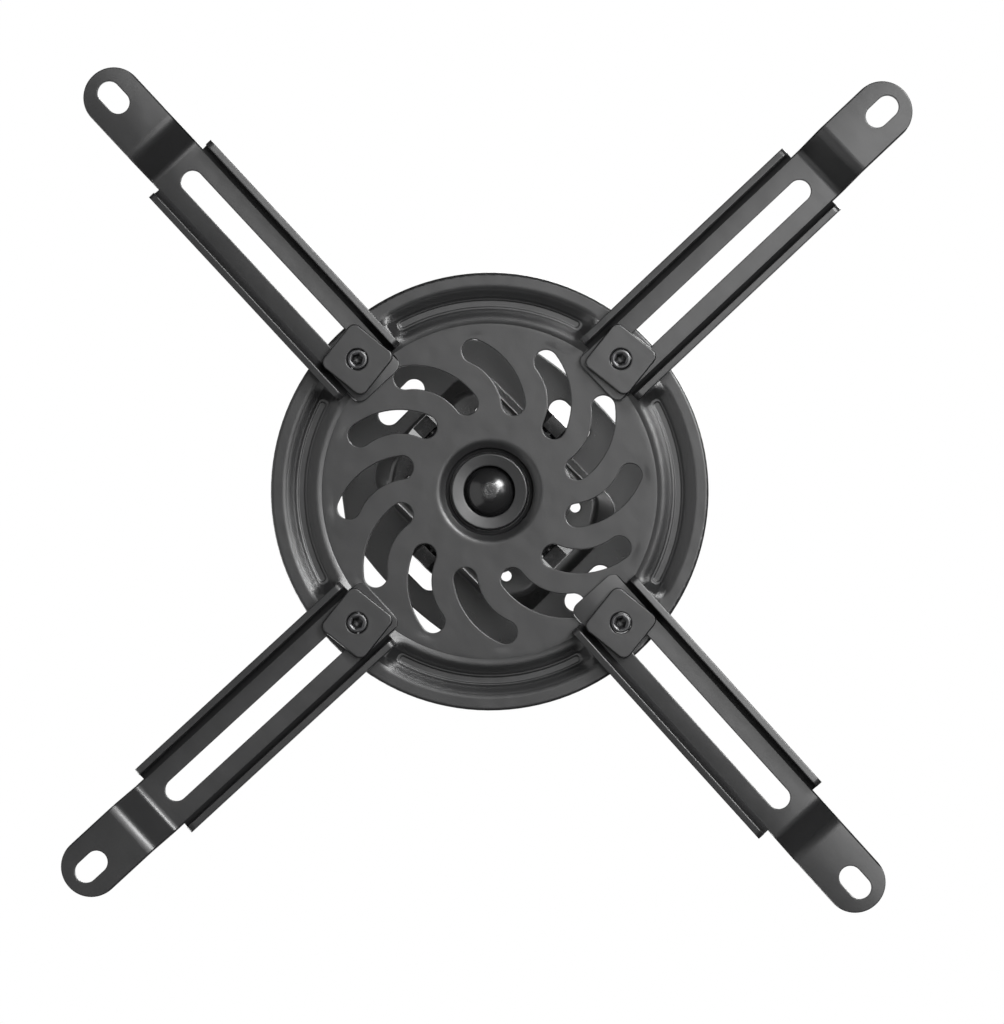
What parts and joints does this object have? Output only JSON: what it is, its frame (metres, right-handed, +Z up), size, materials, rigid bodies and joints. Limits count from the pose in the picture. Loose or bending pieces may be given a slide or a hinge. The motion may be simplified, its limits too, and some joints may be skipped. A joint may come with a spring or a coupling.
{
  "type": "projector ceiling mount",
  "caption": "Low ceiling mount for a projector: slotted ceiling plate, lockable ball joint and a round pierced dish with sliding, swinging channel arms that end in slotted tabs.",
  "frame": {"origin": "middle of the ceiling face, in the plane where the ceiling plate's wings touch the ceiling", "axes": "+Z up into the ceiling; +X along one arm and the ceiling plate's narrow way; +Y along the next arm, a quarter turn about +Z"},
  "size_m": [0.3404, 0.3365, 0.065],
  "materials": {
    "plate_coat": "satin black powder coat",
    "dish_coat": "satin black powder coat",
    "arm_coat": "satin black powder coat",
    "clamp_coat": "satin black powder coat",
    "housing_coat": "satin black powder coat",
    "ball_gloss": "gloss black lacquer",
    "screw_black": "black oxide",
    "nylon": "black nylon"
  },
  "bodies": {
    "hanger": {"ceiling_plate": "plate_coat", "ball_stud": "ball_gloss", "hanger_nut_upper": "screw_black", "hanger_nut_lower": "screw_black", "hanger_washer_upper": "screw_black", "hanger_washer_lower": "screw_black"},
    "swivel_ring": {"lower_liner": "nylon"},
    "tilt_ring": {"upper_liner": "nylon"},
    "spider": {"dish": "dish_coat", "ball_housing": "housing_coat", "housing_cap": "housing_coat", "cap_screws": "screw_black", "lock_bolt_ne": "screw_black", "lock_bolt_se": "screw_black", "lock_bolt_sw": "screw_black", "lock_bolt_nw": "screw_black", "jam_nut_ne": "screw_black", "jam_nut_se": "screw_black", "jam_nut_sw": "screw_black", "jam_nut_nw": "screw_black"},
    "clamp_ne": {"clamp_plate_ne": "clamp_coat", "clamp_screw_ne": "screw_black", "clamp_washer_ne": "screw_black", "clamp_nut_ne": "screw_black"},
    "slider_ne": {"arm_ne": "arm_coat"},
    "clamp_se": {"clamp_plate_se": "clamp_coat", "clamp_screw_se": "screw_black", "clamp_washer_se": "screw_black", "clamp_nut_se": "screw_black"},
    "slider_se": {"arm_se": "arm_coat"},
    "clamp_sw": {"clamp_plate_sw": "clamp_coat", "clamp_screw_sw": "screw_black", "clamp_washer_sw": "screw_black", "clamp_nut_sw": "screw_black"},
    "slider_sw": {"arm_sw": "arm_coat"},
    "clamp_nw": {"clamp_plate_nw": "clamp_coat", "clamp_screw_nw": "screw_black", "clamp_washer_nw": "screw_black", "clamp_nut_nw": "screw_black"},
    "slider_nw": {"arm_nw": "arm_coat"}
  },
  "joints": [
    {"name": "swivel", "type": "hinge", "parent": "hanger", "child": "swivel_ring", "pos_m": [0, 0, -0.04471], "axis": [0, 0, 1], "continuous": true},
    {"name": "tilt", "type": "hinge", "parent": "swivel_ring", "child": "tilt_ring", "pos_m": [0, 0, -0.04471], "axis": [1, 0, 0], "range_deg": [-15, 15]},
    {"name": "roll", "type": "hinge", "parent": "tilt_ring", "child": "spider", "pos_m": [0, 0, -0.04471], "axis": [0, 1, 0], "range_deg": [-15, 15]},
    {"name": "swing_ne", "type": "hinge", "parent": "spider", "child": "clamp_ne", "pos_m": [0.0552, 0, -0.054], "axis": [0, 0, 1], "range_deg": [-45, 45]},
    {"name": "slide_ne", "type": "slide", "parent": "clamp_ne", "child": "slider_ne", "axis": [-0.9996, -0.0297, 0], "range_m": [-0.0003, 0.0297]},
    {"name": "swing_se", "type": "hinge", "parent": "spider", "child": "clamp_se", "pos_m": [0, 0.0552, -0.054], "axis": [0, 0, 1], "range_deg": [-45, 45]},
    {"name": "slide_se", "type": "slide", "parent": "clamp_se", "child": "slider_se", "axis": [0.0506, -0.9987, 0], "range_m": [-0.0034, 0.0266]},
    {"name": "swing_sw", "type": "hinge", "parent": "spider", "child": "clamp_sw", "pos_m": [-0.0552, 0, -0.054], "axis": [0, 0, 1], "range_deg": [-45, 45]},
    {"name": "slide_sw", "type": "slide", "parent": "clamp_sw", "child": "slider_sw", "axis": [0.9991, 0.0419, 0], "range_m": [0, 0.03]},
    {"name": "swing_nw", "type": "hinge", "parent": "spider", "child": "clamp_nw", "pos_m": [0, -0.0552, -0.054], "axis": [0, 0, 1], "range_deg": [-45, 45]},
    {"name": "slide_nw", "type": "slide", "parent": "clamp_nw", "child": "slider_nw", "axis": [-0.0366, 0.9993, 0], "range_m": [-0.0007, 0.0293]}
  ]
}
